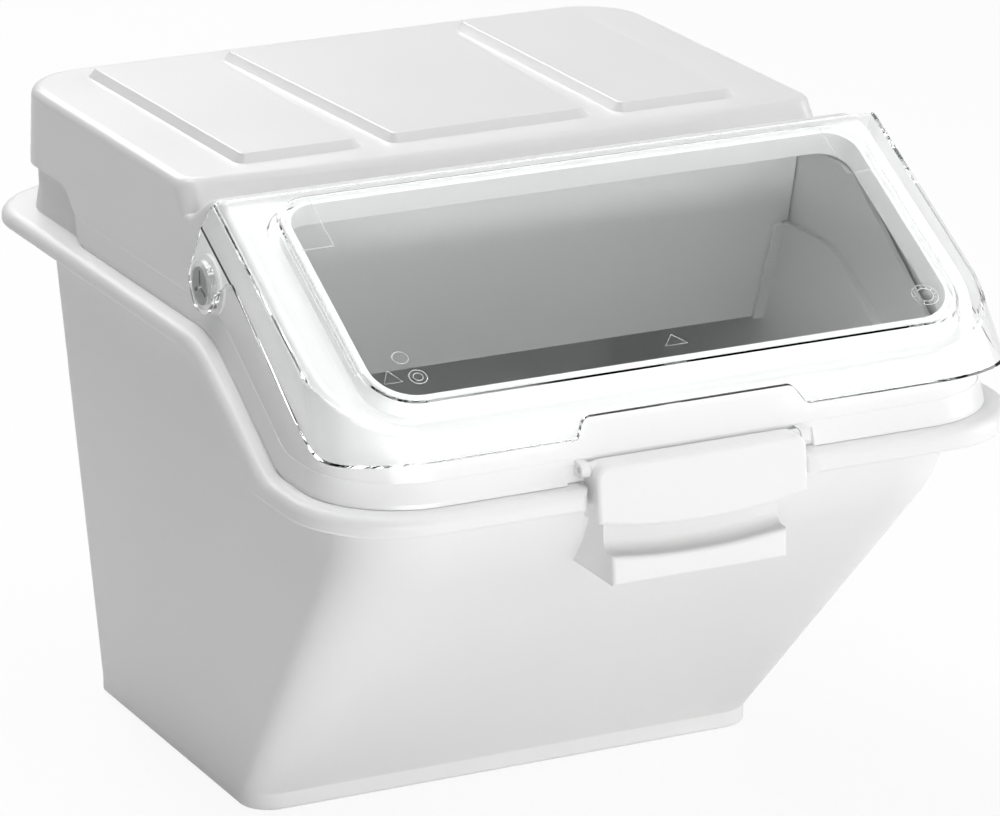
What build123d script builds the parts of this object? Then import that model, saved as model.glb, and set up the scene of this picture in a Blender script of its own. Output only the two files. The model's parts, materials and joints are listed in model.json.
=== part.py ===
"""Ingredient bin with a lift-off cover, a clear flip lid, a latch and a drop-in baffle.

Millimetres. X runs across the bin, Y from front to back, Z up from the shelf.
The origin is the middle of the bin's overall width and depth, at shelf level.
"""

from build123d import *
from math import atan2, cos, hypot, radians, sin, tan
import os

os.makedirs("parts", exist_ok=True)

# Overall sizes of the bin on its shelf
bin_width = 486.0
bin_depth = 586.0
bin_height = 437.0

# Walls and running gaps
tub_wall = 4.0
neck_wall = 3.5
cover_wall = 3.2
clear_wall = 3.0
seat_gap = 0.3
slip_gap = 0.6
pin_gap = 0.05
turn_gap = 0.08
least_radius = 1.0
cut_over = 1.0

# Rim, and its line seen from the side: high at the back, low at the front
rim_below_top = 150.5
rim_drop = 60.0
drop_start_back = 207.5
drop_end_back = 107.5
drop_start_radius = 80.0
drop_end_radius = 34.0
rim_front_radius = 70.0
rim_rear_radius = 64.0
rim_depth_high = 10.5
rim_depth_low = 13.0
rim_under_start = 8.0
rim_under_end = 23.0
rim_top_round = 7.5
rim_lip_round = 2.0
rim_plate = 4.5
rim_lip = 4.0
trough_ahead = 7.0
trough_in = 5.5
trough_width = 9.0
trough_clear = 0.05
trough_room = 20.0

# Neck that stands up inside the cover
ledge_side = 23.0
ledge_front = 21.2
ledge_rear = 26.8
neck_front_radius = 58.0
neck_rear_radius = 44.0
neck_rise = 12.0
neck_back_rise = 48.5
neck_drop_behind = 3.5
neck_drop_ahead = 31.5
neck_top_round = 30.0
neck_flare = 2.5
neck_flare_gap = 2.0
ledge_depth = 8.0
ledge_ahead = 15.0

# Tub
tub_in_side = 3.0
tub_in_front = 6.8
tub_in_rear = 2.2
base_in_side = 37.0
base_in_rear = 29.2
base_front_radius = 22.0
base_rear_radius = 3.0
foot_height = 11.5
foot_edge = 2.5
front_slope = 44.5
front_bend = 88.0
bend_steps = 6
tub_top_front_radius = 56.0
tub_top_rear_radius = 56.0

# Cover: hood with a sloped front, a groove behind it and a raised roof
cover_side_lean = 1.6
cover_front_lean = 8.4
cover_rear_lean = 2.5
cover_front_radius = 60.0
cover_rear_radius = 46.0
groove_rise_above_rim = 64.0
groove_behind_hinge = 40.3
groove_slope = 31.0
ridge_radius = 36.0
valley_radius = 1.5
hood_edge = 6.0
roof_step = 18.5
roof_behind_groove = 16.0
roof_bow = 14.0
roof_least_bow = 0.5
roof_edge = 7.0
roof_corner = 14.0
roof_root = 6.0

# Three raised pads on the roof
pad_rise = 5.5
pad_bevel = 40.0
pad_root = 1.0
pad_corner = 9.0
pad_round = 1.2
pad_front_margin = 14.0
pad_rear_margin = 19.2
pad_side_margin_front = 43.0
pad_side_margin_rear = 40.0
pad_inner = 88.0
pad_middle_front = 72.0
pad_middle_rear = 84.0

# Foot of the cover, and the step up at its rear that clears the neck
foot_band = 15.0
foot_flare = 3.2
flare_share = 0.9
foot_step = 3.0
skirt_rise = 31.0
skirt_step_behind_top = 94.2
skirt_step_run = 32.0
skirt_round_high = 12.0
skirt_round_low = 28.0

# Window in the sloped front of the cover, measured from the hinge line
slope = 29.0
hinge_behind_rim = 216.7
hinge_above_rim = 30.7
frame_lift = 51.2
collar_in_side = 21.7
collar_top = -5.3
collar_bottom = -177.5
collar_wall = 3.0
collar_low_radius = 30.0
collar_high_radius = 22.0
collar_round = 1.0

# Clear lid
lid_out_side = 10.0
lid_lift = 56.4
lid_rear = 14.4
lid_front = -191.7
lid_corner = 60.0
lid_rear_corner = 2.0
lid_edge = 2.0
edge_steps = 3
lid_overrun = 12.0
flange_depth = 22.0
flange_lean = 3.5
flange_front_lean = 41.0
flange_rear_depth = 19.1
flange_deepens = 3.0
flange_bend = 70.0
flange_above_rim = 29.0
panel_rise = 12.6
panel_margin = 1.5
panel_top_trim = 0.5
panel_lean = 5.0
panel_edge = 3.5
cutout_flare = 7.0
cutout_rise = 11.0
cutout_behind_rim = 33.0
cutout_top_round = 8.0
cutout_low_round = 3.0

# Hinge of the lid
ear_radius = 17.5
ear_thickness = 3.0
ear_front = -29.0
ear_foot = 30.0
ear_join_front = -42.6
ear_join = 41.0
ear_tuck = 0.8
boss_gap = 0.5
boss_root = 2.0
boss_radius = 15.5
side_boss_radius = 19.0
side_boss_reach = 6.0
pin_radius = 7.5
pin_head_radius = 12.0
pin_head = 2.2
pin_recess = 3.2
pin_barb = 1.0
star_reach = 9.5
star_width = 2.4
star_legs = 3

# Latch on the front of the cover
latch_half = 71.0
latch_axis_behind = 10.8
latch_axis_rise = 9.5
latch_barrel = 4.3
latch_wall = 4.0
latch_proud_top = 2.0
latch_proud_low = 5.0
latch_drop = 21.5
latch_bulge = 7.0
latch_edge = 3.0
latch_corner = 8.0
latch_top_behind = 3.6
catch_in_side = 31.0
catch_drop = 8.5
catch_rise = 4.0
catch_root = 1.0
pin_rod_radius = 2.0
pin_rod_chamfer = 0.4
lug_gap = 0.4
lug_width = 6.0
lug_radius = 4.6
lug_root = 8.5
pocket_margin = 1.6
pocket_above = 2.0
lug_pocket_margin = 13.0
lug_pocket_rise = 11.5
notch_margin = 2.6
notch_round = 9.0

# Finger grip under the latch, moulded on the tub
grip_in_side = 11.6
grip_low_drop = 64.0
grip_lip_drop = 45.1
grip_lip_behind = 1.2
grip_lip_lean = 0.9
grip_back_behind = 14.0
grip_bulge = 4.0
grip_root = 30.0
grip_hollow_round = 7.0
grip_edge = 2.5

# Baffle that drops in between the two chambers
baffle_wall = 3.0
baffle_top_behind_hinge = 59.3
baffle_low_behind_hinge = 93.3
baffle_top_rise = 55.5
baffle_low_drop = 15.5
baffle_side_gap = 1.2
baffle_corner = 4.0
rail_reach = 6.0
rail_wall = 3.0
rail_gap = 0.5

# Larger than the bin, for shapes that are trimmed afterwards
far = bin_width + bin_depth
tall = 2 * bin_height

# Heights and depths that follow from the sizes above
rim_low = bin_height - rim_below_top
rim_high = rim_low + rim_drop
rim_half = bin_width / 2
rim_front = latch_proud_low - bin_depth / 2
rim_rear = bin_depth / 2
drop_start = rim_front + drop_start_back
drop_end = rim_front + drop_end_back
neck_half = rim_half - ledge_side
neck_front = rim_front + ledge_front
neck_rear = rim_rear - ledge_rear
neck_back_top = rim_high + neck_back_rise
tub_top_half = neck_half - tub_in_side
tub_top_rear = neck_rear - tub_in_rear
front_wall_y = neck_front + tub_in_front
base_half = neck_half - base_in_side
base_rear = neck_rear - base_in_rear
hinge_y = rim_front + hinge_behind_rim
hinge_z = rim_high + hinge_above_rim
groove_z = rim_high + groove_rise_above_rim
groove_y = hinge_y + groove_behind_hinge
roof_z = groove_z + roof_step
roof_front = groove_y + roof_behind_groove
pad_front_y = roof_front + pad_front_margin
pad_rear_y = neck_rear - pad_rear_margin
pad_outer_front = neck_half - pad_side_margin_front
pad_outer_rear = neck_half - pad_side_margin_rear
skirt_z = rim_high + skirt_rise
skirt_step_high = neck_rear - skirt_step_behind_top
skirt_step_low = skirt_step_high - skirt_step_run
collar_half = neck_half - collar_in_side
lid_half = neck_half + lid_out_side
ear_face = lid_half + flange_lean
ear_top = lid_lift - 2 * lid_edge
ear_top_half = lid_half + flange_lean * 2 * lid_edge / flange_depth
side_boss_face = neck_half + side_boss_reach
flange_end_z = rim_low + flange_above_rim
cutout_high = latch_half
cutout_low = latch_half + cutout_flare
cutout_top = flange_end_z + cutout_rise
cutout_back = rim_front + cutout_behind_rim
latch_axis_y = rim_front + latch_axis_behind
latch_axis_z = rim_low + latch_axis_rise
latch_front_top = rim_front - latch_proud_top
latch_front_low = rim_front - latch_proud_low
latch_low_z = rim_low - latch_drop
catch_z = rim_low - catch_drop
catch_half = latch_half - catch_in_side
lug_inner = latch_half + lug_gap
pocket_half = latch_half + pocket_margin
pocket_y = latch_axis_y + hypot(latch_top_behind, latch_barrel) + slip_gap
lug_pocket_half = latch_half + lug_pocket_margin
notch_half = latch_half + notch_margin
latch_cheek_back = pocket_y - slip_gap
rim_solid_half = notch_half + notch_round + rim_lip
trough_half = rim_half - trough_in
grip_half = latch_half - grip_in_side
grip_low_z = rim_low - grip_low_drop
grip_lip_z = rim_low - grip_lip_drop
grip_lip_y = rim_front + grip_lip_behind
grip_back_y = rim_front + grip_back_behind

# Front wall: a slope, a round bend and an upright part that ends at the low rim
slope_lean = radians(front_slope)
bend_end = rim_low
bend_corner = bend_end - front_bend * tan(radians(45) - slope_lean / 2)
bend_centre_y = front_wall_y + front_bend
base_front = front_wall_y + (bend_corner - foot_height) / tan(slope_lean)

# Plane of the window, its origin on the hinge line
slope_sin = sin(radians(slope))
slope_cos = cos(radians(slope))
window_plane = Plane(
    origin=(0, hinge_y, hinge_z),
    x_dir=(1, 0, 0),
    z_dir=(0, -slope_sin, slope_cos),
)
window_axis = Axis(window_plane.origin, window_plane.z_dir)
panel_half = collar_half + panel_margin + clear_wall
panel_high = collar_top + panel_margin + clear_wall - panel_top_trim
panel_low = collar_bottom - panel_margin - clear_wall
panel_lift = lid_lift + panel_rise
collar_lift = panel_lift - clear_wall - seat_gap
collar_foot = frame_lift - cover_wall
collar_height = collar_lift - collar_foot
flange_reach = flange_depth + lid_overrun

cross_plane = Plane(
    origin=(0, hinge_y, hinge_z),
    x_dir=(1, 0, 0),
    z_dir=(0, -slope_cos, -slope_sin),
)

# Plane of the baffle, its origin in the middle of the plate's lower edge
baffle_top_y = hinge_y + baffle_top_behind_hinge
baffle_low_y = hinge_y + baffle_low_behind_hinge
baffle_low_z = rim_low - baffle_low_drop
baffle_high = rim_high + baffle_top_rise - baffle_low_z
baffle_tilt = atan2(baffle_low_y - baffle_top_y, baffle_high)
baffle_length = hypot(baffle_low_y - baffle_top_y, baffle_high)
baffle_plane = Plane(
    origin=(0, baffle_low_y, baffle_low_z),
    x_dir=(1, 0, 0),
    z_dir=(0, -cos(baffle_tilt), -sin(baffle_tilt)),
)
baffle_ear_half = neck_half - neck_wall - baffle_side_gap
ear_seat = rim_high - ledge_depth + seat_gap + baffle_wall / 2 * sin(baffle_tilt)
ear_rest = (ear_seat - baffle_low_z) / cos(baffle_tilt)

# Cover's faces where it passes the neck, and the shoulder that each hinge pin snaps behind
cover_half_at_neck = neck_half + slip_gap + cover_wall
cover_front_at_neck = neck_front - slip_gap - cover_wall
cover_rear_at_neck = neck_rear + slip_gap + cover_wall


def outline(half, front, rear, front_radius, rear_radius, z):
    """Face of a rectangle at height z with its own front and rear corner radii."""
    with BuildSketch(Plane.XY.offset(z)) as plan:
        with BuildLine():
            Polyline((-half, front), (half, front), (half, rear), (-half, rear), close=True)
        make_face()
        fillet(plan.vertices().group_by(Axis.Y)[0], front_radius)
        fillet(plan.vertices().group_by(Axis.Y)[-1], rear_radius)
    return plan.sketch.face()


def side_band(low_line, high_line):
    """Solid across the whole width between two lines drawn in side view."""
    with BuildPart() as band:
        with BuildSketch(Plane.YZ):
            with BuildLine():
                low = low_line()
                high = high_line()
                Line(low @ 0, high @ 0)
                Line(low @ 1, high @ 1)
            make_face()
        extrude(amount=far, both=True)
    return band.part


def rim_line(lift=0.0, ahead=0.0):
    """Side view of the rim: level, a drop between two rounded bends, level."""
    return FilletPolyline(
        (far, rim_high + lift),
        (drop_start + ahead, rim_high + lift),
        (drop_end + ahead, rim_low + lift),
        (-far, rim_low + lift),
        radius=[drop_start_radius, drop_end_radius],
    )


def rim_under_line():
    """Side view of the lower edge of the rim."""
    return FilletPolyline(
        (far, rim_high - rim_depth_high),
        (drop_start + rim_under_start, rim_high - rim_depth_high),
        (drop_end + rim_under_end, rim_low - rim_depth_low),
        (-far, rim_low - rim_depth_low),
        radius=[drop_start_radius / 2, drop_end_radius],
    )


def level(z):
    """Side view of a level line at height z."""
    return Line((far, z), (-far, z))


def tub_front(z, inset):
    """Front face of the tub at height z, moved inwards by inset."""
    bend = front_bend - inset
    if z >= bend_end:
        return front_wall_y + inset
    if z >= bend_end - bend * cos(slope_lean):
        return bend_centre_y - (bend**2 - (bend_end - z) ** 2) ** 0.5
    below = bend_end - bend * cos(slope_lean) - z
    return bend_centre_y - bend * sin(slope_lean) + below / tan(slope_lean)


def tub_section(z, inset=0.0):
    """Plan of the tub wall at height z, moved inwards by inset."""
    share = (z - foot_height) / (rim_high - foot_height)
    front_share = min(1.0, (z - foot_height) / (bend_end - foot_height))
    half = base_half + (tub_top_half - base_half) * share
    rear = base_rear + (tub_top_rear - base_rear) * share
    front_radius = base_front_radius + (tub_top_front_radius - base_front_radius) * front_share
    rear_radius = base_rear_radius + (tub_top_rear_radius - base_rear_radius) * share
    return outline(
        half - inset,
        tub_front(z, inset),
        rear - inset,
        max(front_radius - inset, least_radius),
        max(rear_radius - inset, least_radius),
        z,
    )


def tub_solid(low_z, inset=0.0):
    """Tub filled to the height of the rim, moved inwards by inset."""
    bend = front_bend - inset
    bend_start = bend_end - bend * cos(slope_lean)
    bend_heights = [
        bend_end - bend * sin((1 - step / bend_steps) * (radians(90) - slope_lean))
        for step in range(bend_steps + 1)
    ]
    with BuildPart() as tub:
        loft([tub_section(low_z, inset), tub_section(bend_start, inset)], ruled=True)
        loft([tub_section(z, inset) for z in bend_heights])
        loft([tub_section(bend_end, inset), tub_section(rim_high, inset)], ruled=True)
    return tub.part


def neck_face(z, inset=0.0):
    """Plan of the neck, moved inwards by inset."""
    return outline(
        neck_half - inset,
        neck_front + inset,
        neck_rear - inset,
        neck_front_radius - inset,
        neck_rear_radius - inset,
        z,
    )


def neck_top_line():
    """Side view of the top of the neck: tall at the back, a long fall, then near the rim."""
    return FilletPolyline(
        (far, neck_back_top),
        (drop_start + neck_drop_behind, neck_back_top),
        (drop_end - neck_drop_ahead, rim_low + neck_rise),
        (-far, rim_low + neck_rise),
        radius=[neck_top_round, drop_end_radius],
    )


def meet(first, first_angle, second, second_angle):
    """Point where two lines cross, each given by a point and an angle in degrees."""
    a, b = radians(first_angle), radians(second_angle)
    reach = (second[0] - first[0]) * sin(b) - (second[1] - first[1]) * cos(b)
    reach /= cos(a) * sin(b) - sin(a) * cos(b)
    return first[0] + reach * cos(a), first[1] + reach * sin(a)


def cover_side(z):
    """Half width of the cover's outer face at height z."""
    return cover_half_at_neck - (z - neck_back_top) * tan(radians(cover_side_lean))


def pin_shoulder():
    """Distance from the middle to the shoulder that a hinge pin snaps behind."""
    return cover_side(hinge_z) - cover_wall + pin_recess


def cover_front(z):
    """Front face of the cover at height z."""
    return cover_front_at_neck + (z - rim_low - neck_rise) * tan(radians(cover_front_lean))


def cover_rear(z):
    """Rear face of the cover at height z."""
    return cover_rear_at_neck - (z - neck_back_top) * tan(radians(cover_rear_lean))


def cover_block(inset=0.0):
    """Block with the cover's drafted walls and rounded corners, moved inwards by inset."""
    low_z, high_z = rim_low - rim_depth_low, roof_z + 2 * pad_rise
    with BuildPart() as block:
        with BuildSketch(Plane.YZ):
            Polygon(
                (cover_front(low_z) + inset, low_z),
                (cover_front(high_z) + inset, high_z),
                (cover_rear(high_z) - inset, high_z),
                (cover_rear(low_z) - inset, low_z),
                align=None,
            )
        extrude(amount=far, both=True)
        with BuildSketch(Plane.XZ):
            Polygon(
                (-cover_side(low_z) + inset, low_z),
                (cover_side(low_z) - inset, low_z),
                (cover_side(high_z) - inset, high_z),
                (-cover_side(high_z) + inset, high_z),
                align=None,
            )
        extrude(amount=far, both=True, mode=Mode.INTERSECT)
        uprights = block.edges().filter_by(
            lambda edge: abs(edge.tangent_at(0.5).Z) > 0.8
        ).sort_by(Axis.Y)
        fillet(uprights[:2], cover_front_radius - inset)
        uprights = block.edges().filter_by(
            lambda edge: abs(edge.tangent_at(0.5).Z) > 0.8
        ).sort_by(Axis.Y)
        fillet(uprights[-2:], cover_rear_radius - inset)
    return block.part


def hood_line(inset=0.0):
    """Side view of the cover's top: level, up the groove, over the ridge, down the slope."""
    back = radians(groove_slope)
    level_point = (far, groove_z - inset)
    back_point = (groove_y - inset * sin(back), groove_z - inset * cos(back))
    front_lift = frame_lift - inset
    front_point = (hinge_y - front_lift * slope_sin, hinge_z + front_lift * slope_cos)
    valley = meet(level_point, 180, back_point, 180 - groove_slope)
    ridge = meet(back_point, 180 - groove_slope, front_point, slope)
    front_end = meet(front_point, slope, (rim_front, 0), 90)
    return FilletPolyline(
        level_point,
        valley,
        ridge,
        front_end,
        radius=[valley_radius, ridge_radius - inset],
    )


def hood_hollow_line():
    """Side view of the inside of the cover's top."""
    return hood_line(cover_wall)


def rim_seat_line():
    """Side view of the line on the rim where the cover sits."""
    return rim_line(seat_gap)


def cover_foot_line():
    """Side view of the cover's lower edge: raised at the back, then along the rim."""
    return FilletPolyline(
        (far, skirt_z),
        (skirt_step_high, skirt_z),
        (skirt_step_low, rim_high + seat_gap),
        (drop_start, rim_high + seat_gap),
        (drop_end, rim_low + seat_gap),
        (-far, rim_low + seat_gap),
        radius=[skirt_round_high, skirt_round_low, drop_start_radius, drop_end_radius],
    )


def roof_box(inset=0.0):
    """Raised rear half of the cover, moved inwards by inset."""
    lean = (roof_front - groove_y) / (roof_z - groove_z)
    back = inset * (1 + lean**2) ** 0.5
    faces = []
    for z, bow in ((groove_z - roof_root, roof_least_bow), (roof_z - inset, roof_bow)):
        front = roof_front - (roof_z - z) * lean + back
        with BuildSketch(Plane.XY.offset(z)) as plan:
            with BuildLine():
                ThreePointArc((-rim_half, front), (0, front - bow), (rim_half, front))
                Polyline(
                    (rim_half, front),
                    (far, front),
                    (far, far),
                    (-far, far),
                    (-far, front),
                    (-rim_half, front),
                )
            make_face()
        faces.append(plan.sketch.face())
    with BuildPart() as box:
        add(cover_block(inset))
        add(loft_between(faces), mode=Mode.INTERSECT)
        corners = box.edges().filter_by(
            lambda edge: abs(edge.tangent_at(0.5).Z) > 0.3
        ).sort_by(Axis.Y)
        fillet(corners[:2], roof_corner - inset)
        fillet(box.faces().sort_by(Axis.Z)[-1].edges(), roof_edge - inset)
    return box.part


def loft_between(faces):
    """Solid between plan faces, joined by straight lines."""
    with BuildPart() as body:
        loft(faces, ruled=True)
    return body.part


def pads(inset=0.0):
    """The three raised panels on the roof."""
    outer, middle = (pad_outer_front, pad_outer_rear), (pad_middle_front, pad_middle_rear)
    inner = (pad_inner, pad_inner)
    return [
        roof_pad((-outer[0], -outer[1]), (-inner[0], -inner[1]), inset),
        roof_pad((-middle[0], -middle[1]), middle, inset),
        roof_pad(inner, outer, inset),
    ]


def roof_pad(left, right, inset=0.0):
    """Raised panel on the roof between two lines that close in towards the back or front."""
    pad_front, pad_rear = pad_front_y + inset, pad_rear_y - inset
    base_z = roof_z - inset - pad_root
    with BuildPart() as pad:
        with BuildSketch(Plane.XY.offset(base_z)) as plan:
            with BuildLine():
                Polyline(
                    (left[0] + inset, pad_front),
                    (right[0] - inset, pad_front),
                    (right[1] - inset, pad_rear),
                    (left[1] + inset, pad_rear),
                    close=True,
                )
            make_face()
            fillet(plan.vertices(), pad_corner)
        extrude(amount=pad_rise + pad_root, taper=pad_bevel)
        fillet(pad.faces().sort_by(Axis.Z)[-1].edges(), pad_round)
    return pad.part


def window_face(half, front, rear, front_radius, rear_radius, lift):
    """Outline in the plane of the sloped window, lift above the hinge line."""
    plan = outline(half, front, rear, front_radius, rear_radius, lift)
    return window_plane.from_local_coords(plan)


def window_point(along, lift):
    """Point in side view given by its distance up the window's slope and its lift."""
    return (
        hinge_y + along * slope_cos - lift * slope_sin,
        hinge_z + along * slope_sin + lift * slope_cos,
    )


def ear_plane(x):
    """Upright plane at x, its own X up the window's slope and its origin on the hinge line."""
    return Plane(
        origin=(x, hinge_y, hinge_z),
        x_dir=(0, slope_cos, slope_sin),
        z_dir=(1, 0, 0),
    )


def tub_inner_half(z):
    """Half width between the tub's side walls at height z."""
    share = (z - foot_height) / (rim_high - foot_height)
    return base_half + (tub_top_half - base_half) * share - tub_wall


def baffle_side(reach):
    """Half width of the baffle at a distance up its own face."""
    return tub_inner_half(baffle_low_z + reach * cos(baffle_tilt)) - baffle_side_gap


def collar_face(inset, lift):
    """Outline of the collar round the window, moved inwards by inset."""
    return window_face(
        collar_half - inset,
        collar_bottom + inset,
        collar_top - inset,
        collar_low_radius - inset,
        collar_high_radius - inset,
        lift,
    )


def lid_face(lift, inset=0.0, open_rear=0.0):
    """Outline of the lid's plate and flanges at a height above the hinge line."""
    share = (lid_lift - lift) / flange_depth
    front_slant = (1 + (flange_front_lean / flange_depth) ** 2) ** 0.5
    return window_face(
        lid_half + flange_lean * share - inset,
        lid_front - flange_front_lean * share + inset * front_slant,
        lid_rear + open_rear,
        lid_corner + flange_lean * share - inset,
        lid_rear_corner,
        lift,
    )


def flange_edge_line():
    """Side view of the lower edge of the lid's flanges: along the slope, then level."""
    rear = window_point(0, lid_lift - flange_rear_depth)
    edge_slope = slope + flange_deepens
    rise = far * tan(radians(edge_slope))
    bend = meet(rear, edge_slope, (0, flange_end_z), 0)
    return FilletPolyline(
        (rear[0] + far, rear[1] + rise),
        bend,
        (-far, flange_end_z),
        radius=flange_bend,
    )


def rounding(radius):
    """Pairs of inset and depth, from the top down, that round an edge in steps."""
    turns = [radians(90) * (1 - step / edge_steps) for step in range(edge_steps + 1)]
    return [(radius * (1 - cos(turn)), radius * (1 - sin(turn))) for turn in turns]


def panel_face(lift, inset):
    """Outline of the lid's raised panel at a height above the hinge line."""
    spread = panel_lean * (panel_lift - lift) / panel_rise
    return window_face(
        panel_half + spread - inset,
        panel_low - spread + inset,
        panel_high + spread - inset,
        collar_low_radius + clear_wall + spread - inset,
        collar_high_radius + clear_wall + spread - inset,
        lift,
    )


def cut_band(line):
    """Solid below a line drawn in side view."""
    return side_band(lambda: level(-tall), line)


with BuildPart() as rim:
    add(side_band(rim_under_line, rim_line))
    extrude(
        outline(rim_half, rim_front, rim_rear, rim_front_radius, rim_rear_radius, 0),
        amount=tall,
        mode=Mode.INTERSECT,
    )
    rim_sides = rim.faces().filter_by(lambda face: abs(face.normal_at().Z) < 0.01)
    rim_top = rim.faces().filter_by(lambda face: face.normal_at().Z > 0.1)
    fillet(rim_sides.edges() & rim_top.edges(), rim_top_round)
    rim_sides = rim.faces().filter_by(lambda face: abs(face.normal_at().Z) < 0.01)
    rim_bottom = rim.faces().filter_by(lambda face: face.normal_at().Z < -0.1)
    fillet(rim_sides.edges() & rim_bottom.edges(), rim_lip_round)

with BuildPart() as rim_hollow:
    add(side_band(lambda: rim_line(-tall / 2), lambda: rim_line(-rim_plate, trough_ahead)))
    extrude(
        outline(
            rim_half - rim_lip,
            rim_front + rim_lip,
            rim_rear - rim_lip,
            rim_front_radius - rim_lip,
            rim_rear_radius - rim_lip,
            0,
        ),
        amount=tall,
        mode=Mode.INTERSECT,
    )
    with BuildSketch(Plane.XY):
        with Locations((0, -far / 2)):
            Rectangle(2 * rim_solid_half, far)
    extrude(amount=tall, mode=Mode.SUBTRACT)

with BuildPart() as rim_trough:
    add(
        side_band(
            lambda: rim_line(trough_clear, trough_ahead),
            lambda: rim_line(trough_room),
        )
    )
    with BuildSketch(Plane.XZ):
        for side in (-1, 1):
            with Locations((side * (trough_half - trough_width / 2), 0)):
                Rectangle(trough_width, 2 * tall)
    extrude(amount=far, both=True, mode=Mode.INTERSECT)

with BuildPart() as tub_outside:
    add(tub_solid(foot_height))
    add(side_band(lambda: level(-cut_over), rim_line), mode=Mode.INTERSECT)

with BuildPart() as neck:
    add(side_band(lambda: rim_line(-ledge_depth - neck_wall, ledge_ahead), neck_top_line))
    extrude(neck_face(0), amount=tall, mode=Mode.INTERSECT)

with BuildPart() as neck_hollow:
    add(side_band(lambda: rim_line(-ledge_depth, ledge_ahead), lambda: level(tall - cut_over)))
    extrude(neck_face(0, neck_wall), amount=tall, mode=Mode.INTERSECT)

with BuildPart() as neck_foot:
    loft(
        [neck_face(rim_high - cut_over, -neck_flare), neck_face(rim_high + foot_band)],
        ruled=True,
    )
    flare_rise = skirt_z - rim_high
    flare_start = skirt_step_low + neck_flare_gap
    with BuildSketch(Plane.YZ):
        Polygon(
            (flare_start, rim_high - 2 * cut_over),
            (flare_start, rim_high),
            (flare_start + skirt_step_run, rim_high + flare_rise),
            (far, rim_high + flare_rise),
            (far, rim_high - 2 * cut_over),
            align=None,
        )
    extrude(amount=far, both=True, mode=Mode.INTERSECT)

with BuildPart() as finger_grip:
    with BuildSketch(Plane.YZ):
        Polygon(
            (front_wall_y + grip_root, rim_low - rim_plate),
            (grip_lip_y, rim_low - rim_plate),
            (grip_lip_y, grip_lip_z),
            (grip_lip_y - grip_lip_lean, grip_low_z),
            (front_wall_y + grip_root, grip_low_z),
            align=None,
        )
    extrude(amount=grip_half, both=True)
    with BuildSketch(Plane.XZ.offset(-grip_back_y)):
        with BuildLine():
            ThreePointArc(
                (-grip_half, grip_lip_z),
                (0, grip_lip_z - grip_bulge),
                (grip_half, grip_lip_z),
            )
            Polyline(
                (grip_half, grip_lip_z),
                (2 * grip_half, grip_lip_z),
                (2 * grip_half, rim_high),
                (-2 * grip_half, rim_high),
                (-2 * grip_half, grip_lip_z),
                (-grip_half, grip_lip_z),
            )
        make_face()
    extrude(amount=far, mode=Mode.SUBTRACT)
    grip_corner = finger_grip.edges().filter_by(GeomType.CIRCLE).sort_by(Axis.Y)[-1]
    fillet(grip_corner, grip_hollow_round)
    grip_front = finger_grip.faces().sort_by(Axis.Y)[0]
    fillet(grip_front.edges(), grip_edge)

with BuildPart() as baffle_rails:
    rail_length = (rim_high - ledge_depth - baffle_low_z) / cos(baffle_tilt)
    for face_way in (-1, 1):
        with BuildSketch(baffle_plane.offset(face_way * (baffle_wall / 2 + rail_gap))):
            for side in (-1, 1):
                Polygon(
                    (side * (baffle_side(0) - rail_reach), 0),
                    (side * (baffle_side(0) + 2 * tub_wall), 0),
                    (side * (baffle_side(rail_length) + 2 * tub_wall), rail_length),
                    (side * (baffle_side(rail_length) - rail_reach), rail_length),
                    align=None,
                )
        extrude(amount=face_way * rail_wall)
    add(tub_outside.part, mode=Mode.INTERSECT)

with BuildPart() as container:
    add(rim.part)
    add(rim_hollow.part, mode=Mode.SUBTRACT)
    add(rim_trough.part, mode=Mode.SUBTRACT)
    with BuildSketch(Plane.XY.offset(rim_low - 2 * rim_depth_low)) as notch:
        Polygon(
            (-notch_half, pocket_y),
            (notch_half, pocket_y),
            (notch_half, rim_front),
            (far, rim_front),
            (far, -far),
            (-far, -far),
            (-far, rim_front),
            (-notch_half, rim_front),
            align=None,
        )
        notch_corners = notch.vertices().filter_by(
            lambda corner: abs(abs(corner.X) - notch_half) < trough_clear
            and corner.Y < (rim_front + pocket_y) / 2
        )
        fillet(notch_corners, notch_round)
    extrude(amount=4 * rim_depth_low, mode=Mode.SUBTRACT)
    add(finger_grip.part)
    add(tub_outside.part)
    add(neck.part)
    add(neck_foot.part)
    foot = outline(base_half, base_front, base_rear, base_front_radius, base_rear_radius, 0)
    extrude(foot, amount=foot_height)
    fillet(container.edges().filter_by(lambda edge: edge.center().Z < 0.01), foot_edge)
    add(tub_solid(tub_wall, tub_wall), mode=Mode.SUBTRACT)
    add(neck_hollow.part, mode=Mode.SUBTRACT)
    add(baffle_rails.part)
container.part.label = "container"
export_step(container.part, "parts/container.step")

with BuildPart() as cover_foot:
    add(cover_block(-foot_flare))
    add(side_band(rim_seat_line, lambda: rim_line(foot_band)), mode=Mode.INTERSECT)
    foot_top = cover_foot.faces().filter_by(lambda face: face.normal_at().Z > 0.3)
    foot_walls = cover_foot.faces().filter_by(lambda face: abs(face.normal_at().Z) < 0.2)
    flare_edge = (foot_top.edges() & foot_walls.edges()).filter_by(GeomType.LINE)[0]
    flare_face = [face for face in foot_top if flare_edge in face.edges()][0]
    chamfer(
        flare_edge,
        foot_flare * flare_share,
        length2=foot_band - foot_step,
        reference=flare_face,
    )
    add(side_band(cover_foot_line, lambda: level(tall)), mode=Mode.INTERSECT)

with BuildPart() as cover_hollow:
    add(cover_block(cover_wall))
    add(side_band(lambda: level(rim_low - rim_depth_low), hood_hollow_line), mode=Mode.INTERSECT)
    add(roof_box(cover_wall))
    for pad in pads(cover_wall):
        add(pad)

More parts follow.
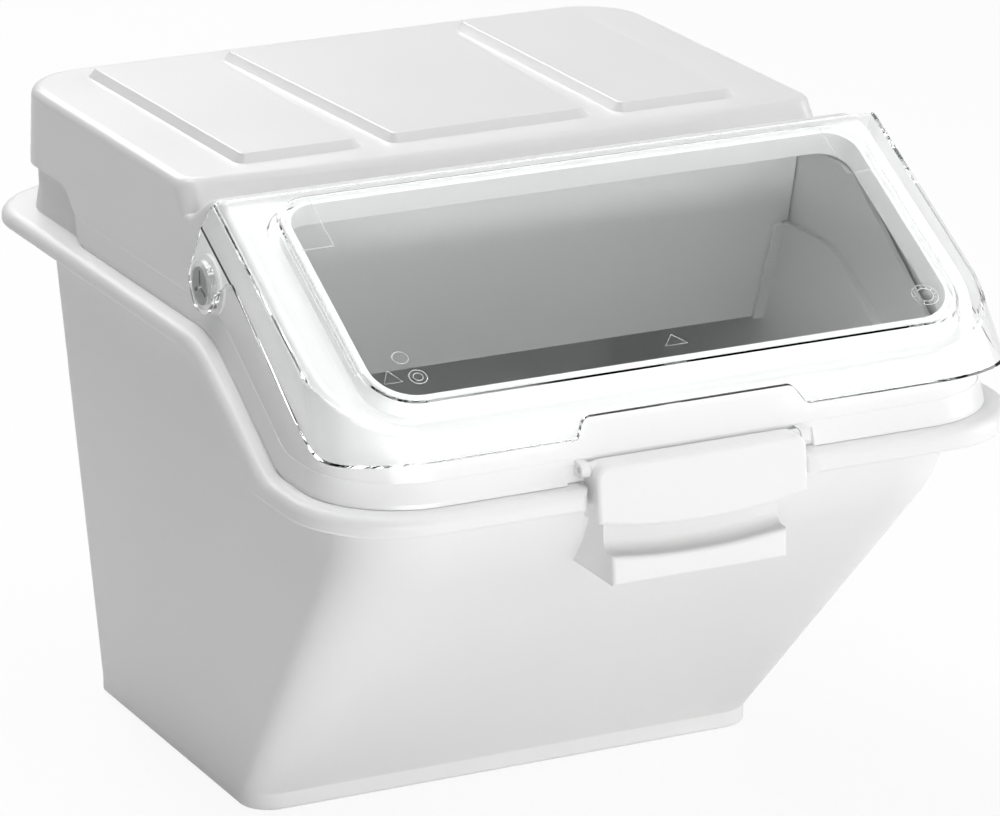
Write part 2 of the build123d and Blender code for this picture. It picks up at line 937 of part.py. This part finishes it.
with BuildPart() as cover:
    add(cover_block())
    add(side_band(cover_foot_line, hood_line), mode=Mode.INTERSECT)
    hood_top = cover.faces().filter_by(lambda face: face.normal_at().Z > 0.2)
    hood_walls = cover.faces().filter_by(lambda face: abs(face.normal_at().Z) < 0.2)
    hood_rim = (hood_top.edges() & hood_walls.edges()).filter_by(
        lambda edge: edge.center().Y < groove_y - valley_radius
    )
    fillet(hood_rim, hood_edge)
    add(cover_foot.part)
    add(roof_box())
    for pad in pads():
        add(pad)
    with BuildSketch(Plane.XY.offset(rim_low - rim_depth_low)):
        with Locations((0, pocket_y - far / 2)):
            Rectangle(2 * pocket_half, far)
    extrude(amount=rim_depth_low + foot_band + pocket_above, mode=Mode.SUBTRACT)
    with BuildSketch(Plane.XY.offset(rim_low - rim_depth_low)):
        with Locations((0, pocket_y - far / 2)):
            Rectangle(2 * lug_pocket_half, far)
    extrude(amount=rim_depth_low + lug_pocket_rise, mode=Mode.SUBTRACT)
    for side in (-1, 1):
        with BuildSketch(Plane.YZ.offset(side * (neck_half - boss_root))):
            with Locations((hinge_y, hinge_z)):
                Circle(side_boss_radius)
        extrude(amount=side * (side_boss_face - neck_half + boss_root))
    add(cover_hollow.part, mode=Mode.SUBTRACT)
    for side in (-1, 1):
        with BuildSketch(Plane.YZ.offset(side * lug_inner)):
            with Locations((latch_axis_y, latch_axis_z)):
                Circle(lug_radius)
            with Locations((latch_axis_y + lug_root / 2, latch_axis_z)):
                Rectangle(lug_root, 2 * lug_radius)
        extrude(amount=side * lug_width)
        with BuildSketch(Plane.YZ.offset(side * (lug_inner - lug_gap))):
            with Locations((latch_axis_y, latch_axis_z)):
                Circle(pin_rod_radius + pin_gap)
        extrude(amount=side * (lug_width + 2 * lug_gap), mode=Mode.SUBTRACT)
        with BuildSketch(Plane.YZ.offset(side * (neck_half - boss_root))):
            with Locations((hinge_y, hinge_z)):
                Circle(pin_radius + pin_gap)
        extrude(amount=side * far / 2, mode=Mode.SUBTRACT)
        with BuildSketch(Plane.YZ.offset(side * (pin_shoulder() - 2 * pin_recess))):
            with Locations((hinge_y, hinge_z)):
                Circle(pin_radius + pin_barb + seat_gap)
        extrude(amount=side * 2 * pin_recess, mode=Mode.SUBTRACT)
    extrude(collar_face(0.0, collar_foot), amount=collar_height)
    collar_top_face = cover.faces().sort_by(window_axis)[-1]
    fillet(collar_top_face.edges(), collar_round)
    extrude(
        collar_face(collar_wall, collar_foot - cover_wall),
        amount=collar_height + 2 * cover_wall,
        mode=Mode.SUBTRACT,
    )
cover.part.label = "cover"
export_step(cover.part, "parts/cover.step")


with BuildPart() as lid_hollow:
    loft(
        [
            lid_face(lid_lift - clear_wall, clear_wall, lid_overrun),
            lid_face(lid_lift - flange_reach, clear_wall, lid_overrun),
        ],
        ruled=True,
    )
    loft(
        [
            panel_face(lid_lift - clear_wall, clear_wall),
            panel_face(panel_lift - clear_wall, clear_wall),
        ],
        ruled=True,
    )

with BuildPart() as lid_ears:
    for side in (-1, 1):
        with BuildSketch(ear_plane(0)):
            Circle(ear_radius)
            with BuildLine():
                Polyline(
                    (ear_radius, 0),
                    (lid_rear, lid_lift),
                    (ear_join_front, lid_lift),
                    (ear_join_front, ear_join),
                    (ear_front, ear_foot),
                    (-ear_radius * ear_tuck, 0),
                    close=True,
                )
            make_face()
        extrude(amount=side * far)
    with BuildSketch(cross_plane):
        for side in (-1, 1):
            Polygon(
                (side * (ear_top_half - clear_wall), ear_top),
                (side * ear_top_half, ear_top),
                (side * ear_face, lid_lift - flange_depth),
                (side * ear_face, -ear_radius),
                (side * (ear_face - ear_thickness), -ear_radius),
                (side * (ear_face - ear_thickness), lid_lift - flange_depth),
                align=None,
            )
    extrude(amount=far, both=True, mode=Mode.INTERSECT)

with BuildPart() as lid:
    loft(
        [lid_face(lid_lift - depth, inset) for inset, depth in rounding(lid_edge)]
        + [lid_face(lid_lift - flange_reach)],
        ruled=True,
    )
    add(cut_band(flange_edge_line), mode=Mode.SUBTRACT)
    loft(
        [panel_face(panel_lift - depth, inset) for inset, depth in rounding(panel_edge)]
        + [panel_face(lid_lift - clear_wall, 0.0)],
        ruled=True,
    )
    add(lid_hollow.part, mode=Mode.SUBTRACT)
    with BuildSketch(Plane.XZ.offset(-cutout_back)) as cutout:
        Polygon(
            (-far, flange_end_z - far),
            (far, flange_end_z - far),
            (far, flange_end_z),
            (cutout_low, flange_end_z),
            (cutout_high, cutout_top),
            (-cutout_high, cutout_top),
            (-cutout_low, flange_end_z),
            (-far, flange_end_z),
            align=None,
        )
        fillet(cutout.vertices().group_by(Axis.Y)[-1], cutout_top_round)
        cutout_feet = cutout.vertices().filter_by(
            lambda corner: abs(abs(corner.X) - cutout_low) < trough_clear
        )
        fillet(cutout_feet, cutout_low_round)
    extrude(amount=far, mode=Mode.SUBTRACT)
    add(lid_ears.part)
    for side in (-1, 1):
        with BuildSketch(ear_plane(side * (side_boss_face + boss_gap))):
            Circle(boss_radius)
        extrude(amount=side * (ear_face - side_boss_face - boss_gap))
        with BuildSketch(ear_plane(side * side_boss_face)):
            Circle(pin_radius + turn_gap)
        extrude(amount=side * ear_radius, mode=Mode.SUBTRACT)
        with BuildSketch(ear_plane(side * (ear_face - pin_head))):
            Circle(pin_head_radius + seat_gap)
        extrude(amount=side * ear_radius, mode=Mode.SUBTRACT)
lid.part.label = "lid"
export_step(lid.part, "parts/lid.step")

for side, name in ((-1, "hinge_pin_left"), (1, "hinge_pin_right")):
    pin_tip = pin_shoulder() - pin_recess
    with BuildPart() as hinge_pin:
        with BuildSketch(ear_plane(side * pin_tip)):
            Circle(pin_radius)
        extrude(amount=side * (ear_face - pin_tip))
        with BuildSketch(ear_plane(side * (ear_face - pin_head + turn_gap))):
            Circle(pin_head_radius)
        extrude(amount=side * (pin_head - turn_gap))
        with BuildSketch(ear_plane(side * (pin_shoulder() - seat_gap))):
            Circle(pin_radius + pin_barb)
        with BuildSketch(ear_plane(side * pin_tip)):
            Circle(pin_radius - pin_barb)
        loft(ruled=True)
        with BuildSketch(ear_plane(side * (pin_tip - cut_over))):
            with PolarLocations(0, star_legs, start_angle=90 - slope):
                with Locations((star_reach / 2, 0)):
                    Rectangle(star_reach, star_width)
        extrude(amount=side * far, mode=Mode.SUBTRACT)
    hinge_pin.part.label = name
    export_step(hinge_pin.part, f"parts/{name}.step")

with BuildPart() as latch:
    with BuildSketch(Plane.YZ):
        Polygon(
            (latch_axis_y + latch_top_behind, latch_axis_z + latch_barrel),
            (latch_front_top, latch_axis_z + latch_barrel),
            (latch_front_low, latch_low_z - latch_bulge),
            (latch_cheek_back, latch_low_z - latch_bulge),
            (latch_cheek_back, latch_axis_z),
            align=None,
        )
    extrude(amount=latch_half, both=True)
    with BuildSketch(Plane.XZ) as front_view:
        with BuildLine():
            Polyline(
                (-latch_half, latch_low_z),
                (-latch_half, latch_axis_z + latch_barrel),
                (latch_half, latch_axis_z + latch_barrel),
                (latch_half, latch_low_z),
            )
            ThreePointArc(
                (latch_half, latch_low_z),
                (0, latch_low_z - latch_bulge),
                (-latch_half, latch_low_z),
            )
        make_face()
        fillet(front_view.vertices().group_by(Axis.Y)[-1], latch_corner)
    extrude(amount=far, mode=Mode.INTERSECT)
    fillet(latch.faces().sort_by(Axis.Y)[0].edges(), latch_edge)
    with BuildSketch(Plane.YZ):
        with Locations((latch_axis_y, latch_axis_z)):
            Circle(latch_barrel)
    extrude(amount=latch_half, both=True)
    with BuildSketch(Plane.YZ):
        Polygon(
            (latch_cheek_back + cut_over, latch_axis_z - latch_barrel),
            (latch_front_top + latch_wall, latch_axis_z - latch_barrel),
            (latch_front_low + latch_wall, latch_low_z - 2 * latch_bulge),
            (latch_cheek_back + cut_over, latch_low_z - 2 * latch_bulge),
            align=None,
        )
    extrude(amount=latch_half - latch_wall, both=True, mode=Mode.SUBTRACT)
    with BuildSketch(Plane.YZ):
        with Locations((latch_axis_y, latch_axis_z)):
            Circle(pin_rod_radius + turn_gap)
    extrude(amount=far, both=True, mode=Mode.SUBTRACT)
    with BuildSketch(Plane.YZ):
        Polygon(
            (latch_front_low + latch_wall, catch_z - catch_rise),
            (grip_back_y - seat_gap, catch_z),
            (latch_front_top + latch_wall - catch_root, catch_z + catch_rise / 2),
            (latch_front_top + latch_wall - catch_root, catch_z - catch_rise),
            align=None,
        )
    extrude(amount=catch_half, both=True)
latch.part.label = "latch"
export_step(latch.part, "parts/latch.step")

with BuildPart() as latch_pin:
    with BuildSketch(Plane.YZ):
        with Locations((latch_axis_y, latch_axis_z)):
            Circle(pin_rod_radius)
    extrude(amount=lug_inner + lug_width, both=True)
    chamfer(latch_pin.edges().filter_by(GeomType.CIRCLE), pin_rod_chamfer)
latch_pin.part.label = "latch_pin"
export_step(latch_pin.part, "parts/latch_pin.step")

with BuildPart() as baffle:
    with BuildSketch(baffle_plane) as plate:
        Polygon(
            (-baffle_side(0), 0),
            (baffle_side(0), 0),
            (baffle_side(ear_rest), ear_rest),
            (baffle_ear_half, ear_rest),
            (baffle_ear_half, baffle_length),
            (-baffle_ear_half, baffle_length),
            (-baffle_ear_half, ear_rest),
            (-baffle_side(ear_rest), ear_rest),
            align=None,
        )
        fillet(plate.vertices().group_by(Axis.Y)[-1], baffle_corner)
        fillet(plate.vertices().group_by(Axis.Y)[0], baffle_corner)
    extrude(amount=baffle_wall / 2, both=True)
baffle.part.label = "baffle"
export_step(baffle.part, "parts/baffle.step")
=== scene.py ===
"""Looks of the ingredient bin: camera, lights, materials and moulded details on its model."""

import json
from math import cos, pi, radians, sin

import bpy
from mathutils import Matrix, Vector


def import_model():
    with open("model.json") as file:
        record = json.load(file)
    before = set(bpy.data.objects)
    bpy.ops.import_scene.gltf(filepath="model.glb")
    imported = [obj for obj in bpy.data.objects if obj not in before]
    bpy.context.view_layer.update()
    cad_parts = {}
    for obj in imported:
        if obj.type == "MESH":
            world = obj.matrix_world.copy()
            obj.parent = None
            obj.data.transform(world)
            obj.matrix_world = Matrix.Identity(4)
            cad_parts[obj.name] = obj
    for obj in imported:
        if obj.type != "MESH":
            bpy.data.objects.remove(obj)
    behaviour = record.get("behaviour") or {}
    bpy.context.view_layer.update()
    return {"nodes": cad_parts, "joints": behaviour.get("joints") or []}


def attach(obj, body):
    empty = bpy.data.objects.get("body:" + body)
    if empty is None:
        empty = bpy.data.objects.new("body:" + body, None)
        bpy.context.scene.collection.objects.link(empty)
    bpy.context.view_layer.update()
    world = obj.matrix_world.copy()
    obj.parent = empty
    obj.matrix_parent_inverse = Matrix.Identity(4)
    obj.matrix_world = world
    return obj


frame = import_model()
nodes = frame["nodes"]
scene = bpy.context.scene

# Camera, solved from the photograph: angles, place in metres, lens and centre in pixels
CAMERA_AZIMUTH = radians(-25.68)
CAMERA_ELEVATION = radians(18.04)
CAMERA_ROLL = radians(-0.41)
CAMERA_PLACE = Vector((-1.5837, -3.2968, 1.4389))
IMAGE_WIDTH, IMAGE_HEIGHT = 1000, 816
FOCAL_PIXELS = 5964.3
CENTRE_PIXELS = (496.3, 401.4)
SENSOR = 36.0
CLIP_START, CLIP_END = 0.1, 60.0

# Bounces that light needs to run along inside the clear lid
MAX_BOUNCES = 24
GLOSSY_BOUNCES = 16
TRANSMISSION_BOUNCES = 20

# Light from all round, and soft lamps with place, target, width, height and power
WORLD_LIGHT = 0.02
LAMPS = [
    ("front_softbox", (0.9, -3.4, 0.9), (0.0, 0.0, 0.2), 2.6, 1.8, 15.0),
    ("front_left_softbox", (-0.9, -3.4, 0.9), (0.0, 0.0, 0.2), 2.2, 1.8, 8.0),
    ("low_softbox", (-0.6, -3.2, 0.16), (0.0, 0.0, 0.1), 2.4, 0.3, 35.0),
    ("top_softbox", (-0.1, -1.3, 2.8), (0.0, 0.0, 0.3), 1.8, 1.4, 16.0),
    ("over_softbox", (-0.5, 0.6, 2.9), (0.0, 0.1, 0.3), 1.6, 1.4, 37.0),
    ("right_softbox", (3.0, -1.0, 1.2), (0.0, 0.0, 0.2), 1.6, 1.6, 46.0),
    ("rear_softbox", (0.0, 2.6, 2.2), (0.0, 0.1, 0.3), 2.0, 1.2, 45.0),
]

# White backdrop: its share in mirrors, and the heights between which its ceiling grows dim
WHITE = (1.0, 1.0, 1.0, 1.0)
MIRRORED_WORLD = 0.35
CEILING_START, CEILING_END = 0.2, 0.45
CEILING_SHARE = 0.08
# A ray with no diffuse bounce behind it has a diffuse depth below this
FIRST_DIFFUSE_DEPTH = 0.5

# Floor: half its side, its drop under the bin, its grey, its own glow and its share in mirrors
FLOOR_REACH = 12.0
FLOOR_DROP = 0.0005
FLOOR_GREY = 0.9
FLOOR_GLOW = 0.9
MIRRORED_FLOOR = 0.4

# White plastics: darker and lighter greys that they vary between
TUB_GREYS = (0.835, 0.835, 0.835), (0.865, 0.865, 0.863)
COVER_GREYS = (0.845, 0.845, 0.845), (0.875, 0.875, 0.873)
# The baffle's greys are lighter than the tub's and cover's: painted light that brightens the
# baffle inside the bin
BAFFLE_PAINTED_LIGHT_GREYS = (0.89, 0.89, 0.89), (0.92, 0.92, 0.92)
PLASTIC_IOR = 1.49
# Noise scales per metre, and bump heights in metres
CLOUD_SCALE = 5.0
FLOW_SCALE = 9.0
GRAIN_SCALE = 900.0
PEEL_SCALE = 140.0
GRAIN_HEIGHT = 0.00008
PEEL_HEIGHT = 0.0001

# Clear plastics: tints, what a lamp's light keeps of the tint on its way through, and surface
LID_TINT = (0.985, 0.992, 0.990)
# The hinge pins get a dark grey tint
PIN_TINT = (0.36, 0.37, 0.37)
MARK_TINT = (0.86, 0.87, 0.87)
LAMP_SHARE = 0.96
CLEAR_IOR = 1.5
SMEAR_SCALE = 8.0
RIPPLE_SCALE = 12.0
RIPPLE_STRENGTH = 0.03
RIPPLE_HEIGHT = 0.0004

# Steel: greys, noise stretched along the rod, roughness and bump
STEEL_GREYS = (0.5, 0.5, 0.51), (0.7, 0.7, 0.71)
STEEL_STRETCH = (12.0, 900.0, 900.0)
STEEL_ROUGHNESS = 0.2, 0.36
STEEL_LINE_STRENGTH = 0.2
STEEL_LINE_HEIGHT = 0.00005

# Range of a noise value that is mapped, wide enough to leave no flat patches
NOISE_LOW, NOISE_HIGH = 0.15, 0.85
# Sockets of the Mix node in its colour mode
MIX_DARK, MIX_LIGHT, MIX_RESULT = 6, 7, 2

# Hinge line of the lid, from the model, slope of its window and lift of its panel in millimetres
HINGE = Vector(next(joint["pos_m"] for joint in frame["joints"] if joint["name"] == "lid_hinge"))
SLOPE = radians(29.0)
PANEL_LIFT = 69.0

# Marks on the lid's panel, in millimetres across and up the slope from the hinge line
CORNER_INNER, CORNER_OUTER = 176.5, 198.0
CORNER_TOP, CORNER_LOW = -6.0, -47.0
# Place, half width and height of each triangle
TRIANGLES = ((1.8, -167.2, 7.5, 8.6), (-185.0, -163.5, 6.0, 10.4))
# Place and radii of each set of rings, the dial first
DIAL = (178.5, -158.0)
RINGS = ((*DIAL, 8.6, 5.4), (-168.0, -161.5, 5.6, 3.0), (-172.8, -144.5, 5.0))
RING_STEPS = 36
TICKS = 12
TICK_ENDS = 6.2, 7.8
# Thickness of the marks, and place and thickness of the baffle's bead, in metres
MARK_THICKNESS = 0.0005
BEAD_Y, BEAD_Z = 0.0293, 0.3095
BEAD_HALF_LENGTH = 0.2075
BEAD_THICKNESS = 0.002


def camera():
    """Camera at the photograph's viewing angle and framing."""
    turn, rise, roll = CAMERA_AZIMUTH, CAMERA_ELEVATION, CAMERA_ROLL
    back = Vector((sin(turn) * cos(rise), -cos(turn) * cos(rise), sin(rise)))
    right = Vector((cos(turn), sin(turn), 0.0))
    up = back.cross(right)
    right, up = right * cos(roll) + up * sin(roll), up * cos(roll) - right * sin(roll)
    data = bpy.data.cameras.new("photo_camera")
    data.sensor_width = SENSOR
    data.lens = SENSOR * FOCAL_PIXELS / IMAGE_WIDTH
    data.shift_x = (IMAGE_WIDTH / 2 - CENTRE_PIXELS[0]) / IMAGE_WIDTH
    data.shift_y = (CENTRE_PIXELS[1] - IMAGE_HEIGHT / 2) / IMAGE_WIDTH
    data.clip_start, data.clip_end = CLIP_START, CLIP_END
    cam = bpy.data.objects.new("photo_camera", data)
    facing = Matrix((right, up, back)).transposed().to_4x4()
    cam.matrix_world = Matrix.Translation(CAMERA_PLACE) @ facing
    scene.collection.objects.link(cam)
    scene.camera = cam


def light_paths():
    """Enough bounces for light that runs along inside the clear lid."""
    scene.cycles.max_bounces = MAX_BOUNCES
    scene.cycles.glossy_bounces = GLOSSY_BOUNCES
    scene.cycles.transmission_bounces = TRANSMISSION_BOUNCES


def lamp(name, place, target, width, height, power):
    """Soft rectangular studio lamp that faces a target."""
    data = bpy.data.lights.new(name, "AREA")
    data.shape = "RECTANGLE"
    data.size, data.size_y = width, height
    data.energy = power
    light = bpy.data.objects.new(name, data)
    place, target = Vector(place), Vector(target)
    facing = (target - place).to_track_quat("-Z", "Y").to_matrix().to_4x4()
    light.matrix_world = Matrix.Translation(place) @ facing
    scene.collection.objects.link(light)


def new_material(name):
    """Empty node material with its output node."""
    material = bpy.data.materials.new(name)
    material.use_nodes = True
    tree = material.node_tree
    tree.nodes.clear()
    output = tree.nodes.new("ShaderNodeOutputMaterial")
    return material, tree, output


def calculate(tree, operation, first, second):
    """Math node on a socket and a second socket or number."""
    node = tree.nodes.new("ShaderNodeMath")
    node.operation = operation
    tree.links.new(first, node.inputs[0])
    if isinstance(second, float):
        node.inputs[1].default_value = second
    else:
        tree.links.new(second, node.inputs[1])
    return node.outputs[0]


def remap(tree, socket, low, high, new_low, new_high):
    """Value mapped from one range to another and held at its ends."""
    node = tree.nodes.new("ShaderNodeMapRange")
    node.inputs["From Min"].default_value = low
    node.inputs["From Max"].default_value = high
    node.inputs["To Min"].default_value = new_low
    node.inputs["To Max"].default_value = new_high
    tree.links.new(socket, node.inputs["Value"])
    return node.outputs["Result"]


def mix_shaders(tree, fac, first, second, output):
    """Sends a mix of two shader nodes to the output."""
    mix = tree.nodes.new("ShaderNodeMixShader")
    tree.links.new(fac, mix.inputs[0])
    tree.links.new(first.outputs[0], mix.inputs[1])
    tree.links.new(second.outputs[0], mix.inputs[2])
    tree.links.new(mix.outputs[0], output.inputs["Surface"])


def seen_directly(tree, glossy_share, backdrop=1.0):
    """1 for what the camera sees, also through the clear lid, and a share of it in mirrors."""
    path = tree.nodes.new("ShaderNodeLightPath").outputs
    mirrored = calculate(tree, "MULTIPLY", path["Is Glossy Ray"], glossy_share)
    bent = calculate(tree, "MAXIMUM", mirrored, path["Is Transmission Ray"])
    bent = calculate(tree, "MULTIPLY", bent, backdrop)
    seen = calculate(tree, "MAXIMUM", bent, path["Is Camera Ray"])
    undiffused = calculate(tree, "LESS_THAN", path["Diffuse Depth"], FIRST_DIFFUSE_DEPTH)
    return calculate(tree, "MULTIPLY", seen, undiffused)


def background(tree, strength):
    """White background shader."""
    node = tree.nodes.new("ShaderNodeBackground")
    node.inputs["Color"].default_value = WHITE
    node.inputs["Strength"].default_value = strength
    return node


def world():
    """White backdrop to the eye, a dim ceiling in mirrors and glass, and faint even light."""
    sky = bpy.data.worlds.new("studio")
    scene.world = sky
    sky.use_nodes = True
    tree = sky.node_tree
    tree.nodes.clear()
    output = tree.nodes.new("ShaderNodeOutputWorld")
    lit = background(tree, WORLD_LIGHT)
    seen = background(tree, 1.0)
    split = tree.nodes.new("ShaderNodeSeparateXYZ")
    tree.links.new(tree.nodes.new("ShaderNodeTexCoord").outputs["Generated"], split.inputs[0])
    height = split.outputs["Z"]
    ceiling = remap(tree, height, CEILING_START, CEILING_END, 1.0, CEILING_SHARE)
    mix_shaders(tree, seen_directly(tree, MIRRORED_WORLD, ceiling), lit, seen, output)


def floor():
    """Plain pale floor that keeps a soft shadow and is otherwise white to the eye."""
    mesh = bpy.data.meshes.new("floor")
    corners = ((-1, -1), (1, -1), (1, 1), (-1, 1))
    points = [(FLOOR_REACH * x, FLOOR_REACH * y, -FLOOR_DROP) for x, y in corners]
    mesh.from_pydata(points, [], [(0, 1, 2, 3)])
    plane = bpy.data.objects.new("floor", mesh)
    scene.collection.objects.link(plane)
    material, tree, output = new_material("floor_paper")
    diffuse = tree.nodes.new("ShaderNodeBsdfDiffuse")
    diffuse.inputs["Color"].default_value = (FLOOR_GREY, FLOOR_GREY, FLOOR_GREY, 1.0)
    glow = tree.nodes.new("ShaderNodeEmission")
    glow.inputs["Strength"].default_value = 1.0
    share = calculate(tree, "MULTIPLY", seen_directly(tree, MIRRORED_FLOOR), FLOOR_GLOW)
    mix_shaders(tree, share, diffuse, glow, output)
    mesh.materials.append(material)


def noise(tree, coordinates, scale, detail):
    """Noise texture on the object's own coordinates."""
    node = tree.nodes.new("ShaderNodeTexNoise")
    node.inputs["Scale"].default_value = scale
    node.inputs["Detail"].default_value = detail
    tree.links.new(coordinates, node.inputs["Vector"])
    return node.outputs["Fac"]


def spread(tree, socket, low, high):
    """Noise value mapped to a range."""
    return remap(tree, socket, NOISE_LOW, NOISE_HIGH, low, high)


def shade(tree, fac, dark, light):
    """Colour between two greys, chosen by a value."""
    mix = tree.nodes.new("ShaderNodeMix")
    mix.data_type = "RGBA"
    mix.inputs[MIX_DARK].default_value = (*dark, 1.0)
    mix.inputs[MIX_LIGHT].default_value = (*light, 1.0)
    tree.links.new(fac, mix.inputs[0])
    return mix.outputs[MIX_RESULT]


def bump(tree, height, strength, distance, normal=None):
    """Bump from a height value, on top of another bump if there is one."""
    node = tree.nodes.new("ShaderNodeBump")
    node.inputs["Strength"].default_value = strength
    node.inputs["Distance"].default_value = distance
    tree.links.new(height, node.inputs["Height"])
    if normal:
        tree.links.new(normal, node.inputs["Normal"])
    return node.outputs["Normal"]


def moulded_plastic(name, greys, rough_low, rough_high, grain, orange_peel):
    """White moulded plastic: faint cloudiness, fine mould grain and a slight orange peel."""
    material, tree, output = new_material(name)
    shader = tree.nodes.new("ShaderNodeBsdfPrincipled")
    shader.inputs["IOR"].default_value = PLASTIC_IOR
    place = tree.nodes.new("ShaderNodeTexCoord").outputs["Object"]
    cloud = noise(tree, place, CLOUD_SCALE, 2.0)
    flow = noise(tree, place, FLOW_SCALE, 1.0)
    fine = noise(tree, place, GRAIN_SCALE, 1.0)
    peel = noise(tree, place, PEEL_SCALE, 0.0)
    colour = shade(tree, spread(tree, cloud, 0.0, 1.0), *greys)
    tree.links.new(colour, shader.inputs["Base Color"])
    tree.links.new(spread(tree, flow, rough_low, rough_high), shader.inputs["Roughness"])
    waves = bump(tree, peel, orange_peel, PEEL_HEIGHT)
    tree.links.new(bump(tree, fine, grain, GRAIN_HEIGHT, waves), shader.inputs["Normal"])
    tree.links.new(shader.outputs[0], output.inputs["Surface"])
    return material


def clear_plastic(name, tint, rough_low, rough_high, clearness):
    """Clear moulded plastic that lets the lamps through."""
    material, tree, output = new_material(name)
    shader = tree.nodes.new("ShaderNodeBsdfPrincipled")
    shader.inputs["Base Color"].default_value = (*tint, 1.0)
    shader.inputs["IOR"].default_value = CLEAR_IOR
    shader.inputs["Transmission Weight"].default_value = clearness
    place = tree.nodes.new("ShaderNodeTexCoord").outputs["Object"]
    smear = noise(tree, place, SMEAR_SCALE, 2.0)
    ripple = noise(tree, place, RIPPLE_SCALE, 0.0)
    tree.links.new(spread(tree, smear, rough_low, rough_high), shader.inputs["Roughness"])
    uneven = bump(tree, ripple, RIPPLE_STRENGTH, RIPPLE_HEIGHT)
    tree.links.new(uneven, shader.inputs["Normal"])
    clear = tree.nodes.new("ShaderNodeBsdfTransparent")
    clear.inputs["Color"].default_value = (*[LAMP_SHARE * share for share in tint], 1.0)
    path = tree.nodes.new("ShaderNodeLightPath")
    mix_shaders(tree, path.outputs["Is Shadow Ray"], shader, clear, output)
    return material


def steel(name):
    """Drawn steel rod with fine lines along its length."""
    material, tree, output = new_material(name)
    shader = tree.nodes.new("ShaderNodeBsdfPrincipled")
    shader.inputs["Metallic"].default_value = 1.0
    coordinates = tree.nodes.new("ShaderNodeTexCoord").outputs["Object"]
    stretch = tree.nodes.new("ShaderNodeMapping")
    stretch.inputs["Scale"].default_value = STEEL_STRETCH
    tree.links.new(coordinates, stretch.inputs["Vector"])
    drawn = noise(tree, stretch.outputs[0], 1.0, 3.0)
    tree.links.new(shade(tree, drawn, *STEEL_GREYS), shader.inputs["Base Color"])
    tree.links.new(spread(tree, drawn, *STEEL_ROUGHNESS), shader.inputs["Roughness"])
    scratches = bump(tree, drawn, STEEL_LINE_STRENGTH, STEEL_LINE_HEIGHT)
    tree.links.new(scratches, shader.inputs["Normal"])
    tree.links.new(shader.outputs[0], output.inputs["Surface"])
    return material


def dress(node, material):
    """Gives a carried-over node its material."""
    slots = nodes[node].data.materials
    if len(slots) == 0:
        slots.append(material)
    for index in range(len(slots)):
        slots[index] = material


def lines(name, runs, thickness, material, body):
    """Thin round beads along runs of points, each with a note whether it closes."""
    curve = bpy.data.curves.new(name, "CURVE")
    curve.dimensions = "3D"
    curve.bevel_depth = thickness / 2
    curve.bevel_resolution = 2
    for points, closed in runs:
        spline = curve.splines.new("POLY")
        spline.points.add(len(points) - 1)
        for place, point in zip(spline.points, points):
            place.co = (*point, 1.0)
        spline.use_cyclic_u = closed
    piece = bpy.data.objects.new(name, curve)
    scene.collection.objects.link(piece)
    curve.materials.append(material)
    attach(piece, body)


def window_point(x, along, lift):
    """Place on the lid from millimetres across, up its slope and out from the hinge line."""
    x, along, lift = x / 1000, along / 1000, lift / 1000
    y = along * cos(SLOPE) - lift * sin(SLOPE)
    z = along * sin(SLOPE) + lift * cos(SLOPE)
    return HINGE + Vector((x, y, z))


def panel_run(places, closed):
    """Run of points on the lid's panel, with a note whether it closes."""
    return [window_point(x, along, PANEL_LIFT) for x, along in places], closed


def round_place(x, along, radius, turn):
    """Place at a turn on a circle."""
    return x + radius * cos(turn), along + radius * sin(turn)


def lid_marks(material):
    """Plain raised marks on the lid's panel: corner frames, triangles and rings, no lettering."""
    runs = []
    for side in (-1, 1):
        inner, outer = side * CORNER_INNER, side * CORNER_OUTER
        corner = [(inner, CORNER_TOP), (inner, CORNER_LOW), (outer, CORNER_LOW)]
        runs.append(panel_run(corner, False))
    for x, along, half, height in TRIANGLES:
        shape = [(x - half, along), (x + half, along), (x, along + height)]
        runs.append(panel_run(shape, True))
    for x, along, *radii in RINGS:
        for radius in radii:
            turns = [2 * pi * step / RING_STEPS for step in range(RING_STEPS)]
            runs.append(panel_run([round_place(x, along, radius, turn) for turn in turns], True))
    for tick in range(TICKS):
        turn = 2 * pi * tick / TICKS
        runs.append(panel_run([round_place(*DIAL, reach, turn) for reach in TICK_ENDS], False))
    lines("lid_marks", runs, MARK_THICKNESS, material, "lid")


def baffle_bead(material):
    """Moulded bead across the front face of the baffle."""
    ends = [Vector((side * BEAD_HALF_LENGTH, BEAD_Y, BEAD_Z)) for side in (-1, 1)]
    lines("baffle_bead", [(ends, False)], BEAD_THICKNESS, material, "container")


camera()
light_paths()
world()
floor()
for row in LAMPS:
    lamp(*row)

tub_white = moulded_plastic("tub_polypropylene", TUB_GREYS, 0.38, 0.44, 0.06, 0.06)
cover_white = moulded_plastic("cover_plastic", COVER_GREYS, 0.27, 0.31, 0.03, 0.05)
latch_white = moulded_plastic("latch_plastic", COVER_GREYS, 0.30, 0.35, 0.04, 0.05)
# Baffle and its bead: white plastic with lighter greys as painted light inside the bin
baffle_painted_light_white = moulded_plastic("baffle_plastic_painted_light", BAFFLE_PAINTED_LIGHT_GREYS, 0.40, 0.48, 0.06, 0.04)
clear_lid = clear_plastic("clear_polycarbonate", LID_TINT, 0.0, 0.012, 1.0)
clear_pin = clear_plastic("dark_grey_pin_plastic", PIN_TINT, 0.15, 0.22, 0.5)
clear_marks = clear_plastic("raised_mark_plastic", MARK_TINT, 0.15, 0.25, 0.5)

dress("container", tub_white)
dress("cover", cover_white)
dress("latch", latch_white)
dress("baffle", baffle_painted_light_white)
dress("lid", clear_lid)
dress("hinge_pin_left", clear_pin)
dress("hinge_pin_right", clear_pin)
dress("latch_pin", steel("drawn_steel"))

lid_marks(clear_marks)
baffle_bead(baffle_painted_light_white)

scene.view_settings.view_transform = "Standard"
